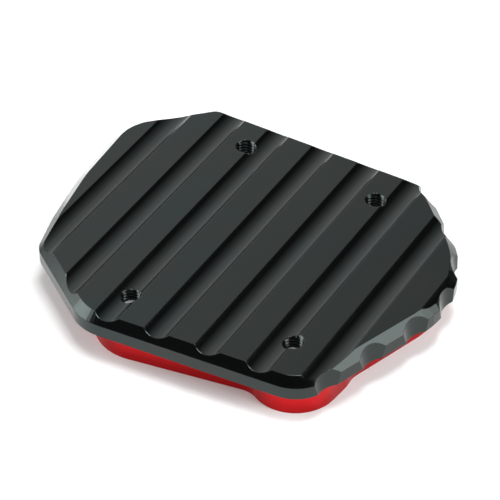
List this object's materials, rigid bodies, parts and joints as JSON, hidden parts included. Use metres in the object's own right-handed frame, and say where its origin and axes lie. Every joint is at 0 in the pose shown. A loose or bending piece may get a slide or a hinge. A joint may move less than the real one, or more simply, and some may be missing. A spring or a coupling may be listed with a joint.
{
  "type": "kickstand foot enlarger",
  "caption": "Ribbed black ground plate screwed to a red clamp frame; traps a motorbike kickstand's foot and spreads its load on soft ground.",
  "frame": {"origin": "middle of the part's box, on the plane of the clamp frame's face that the part stands on in the picture", "axes": "+Z from the clamp frame toward the ribbed sole, +Y along the grooves toward the straight edge and the leg slot, +X across the grooves toward the scalloped end"},
  "size_m": [0.0975, 0.0808, 0.012],
  "materials": {
    "black_anodised_aluminium": "machined and black anodised, satin",
    "red_anodised_aluminium": "machined and red anodised, satin",
    "stainless_steel": "plain"
  },
  "bodies": {
    "root": {"ground_plate": "black_anodised_aluminium", "clamp_frame": "red_anodised_aluminium", "clamp_screws": "stainless_steel"}
  },
  "joints": []
}
